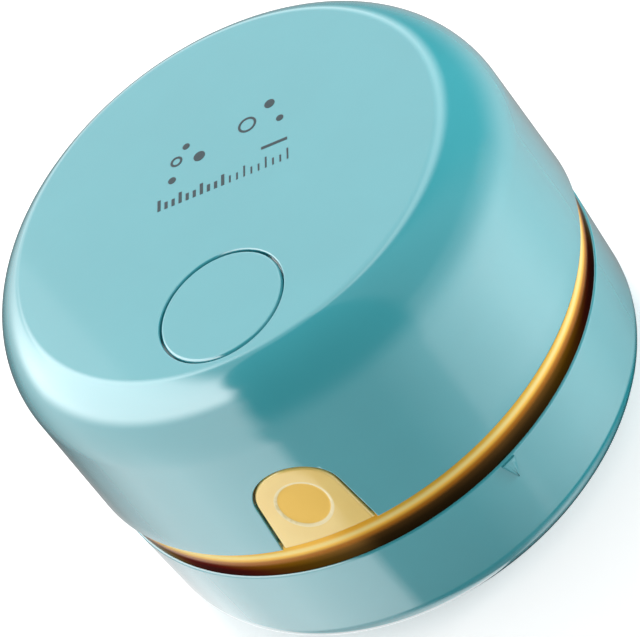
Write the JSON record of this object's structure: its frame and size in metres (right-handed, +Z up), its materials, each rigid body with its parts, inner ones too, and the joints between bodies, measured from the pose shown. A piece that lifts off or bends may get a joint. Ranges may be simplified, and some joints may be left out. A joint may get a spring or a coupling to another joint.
{
  "type": "desktop mini vacuum cleaner",
  "caption": "Puck-shaped desktop vacuum cleaner: a lift-off head with fan, motor, battery and push button on a dust cup with brushes and a suction mouth underneath.",
  "frame": {"origin": "on the table, under the middle of the round body", "axes": "+Z up along the body's axis; the release tab and the power button are at the front, -Y; the exhaust slots and the charging socket are at the back, +Y"},
  "size_m": [0.084, 0.084, 0.058],
  "materials": {
    "teal_shell": "satin moulded teal plastic",
    "gold": "metallised gold plastic",
    "rubber_grey": "soft rubber",
    "inner_plastic": "light grey moulded plastic",
    "dark_plastic": "black moulded plastic",
    "steel": "plain steel",
    "brass": "turned brass",
    "board": "green solder mask",
    "bristle": "nylon bristle",
    "filter_cloth": "pleated non-woven",
    "cell": "pouch foil",
    "foam": "foam tape",
    "lead": "insulated lead",
    "lamp": "clear light guide",
    "button_teal": "satin moulded teal plastic"
  },
  "bodies": {
    "base": {"dust_cup": "teal_shell", "brush_plate": "inner_plastic", "brush_plate_screws": "steel", "front_brush": "bristle", "rear_brush": "bristle", "glide_feet": "rubber_grey"},
    "head": {"top_shell": "teal_shell", "trim_ring": "gold", "cup_seal": "rubber_grey", "fan_cover": "inner_plastic", "case_screws": "steel", "motor_deck": "inner_plastic", "motor_can": "steel", "motor_end_cap": "dark_plastic", "motor_terminals": "brass", "shaft_bush": "brass", "motor_screws": "steel", "control_board": "board", "board_screws": "steel", "board_components": "dark_plastic", "power_switch": "dark_plastic", "charge_board": "board", "charge_chip": "dark_plastic", "charge_socket": "steel", "charge_led": "lamp", "battery": "cell", "battery_pad": "foam", "battery_lead": "lead", "motor_lead": "lead", "charge_lead": "lead", "latch_arm": "inner_plastic"},
    "power_button": {"power_button": "button_teal"},
    "switch_plunger": {"switch_plunger": "inner_plastic"},
    "release_tab": {"release_tab": "gold"},
    "rotor": {"impeller": "dark_plastic", "motor_shaft": "steel"},
    "filter": {"filter_frame": "dark_plastic", "filter_mesh": "filter_cloth", "filter_seal": "rubber_grey"}
  },
  "joints": [
    {"name": "head_lift", "type": "slide", "parent": "base", "child": "head", "axis": [0, 0, 1], "range_m": [0, 0.065], "deforming": ["latch_arm"]},
    {"name": "power_press", "type": "slide", "parent": "head", "child": "power_button", "axis": [0, 0, -1], "range_m": [0, 0.001], "stiffness_N_per_m": 2000, "springref_m": -0.0003},
    {"name": "plunger_press", "type": "slide", "parent": "head", "child": "switch_plunger", "axis": [0, 0, -1], "range_m": [0, 0.0012]},
    {"name": "tab_press", "type": "slide", "parent": "head", "child": "release_tab", "axis": [0, 1, 0], "range_m": [0, 0.0018], "stiffness_N_per_m": 1200, "springref_m": -0.0004, "deforming": ["latch_arm"]},
    {"name": "fan_spin", "type": "hinge", "parent": "head", "child": "rotor", "pos_m": [0, 0, 0.03], "axis": [0, 0, 1], "continuous": true},
    {"name": "filter_pull", "type": "slide", "parent": "head", "child": "filter", "axis": [0, 0, -1], "range_m": [0, 0.008]}
  ],
  "couplings": [
    {"joint": "plunger_press", "follows": "power_press", "ratio": 1}
  ]
}
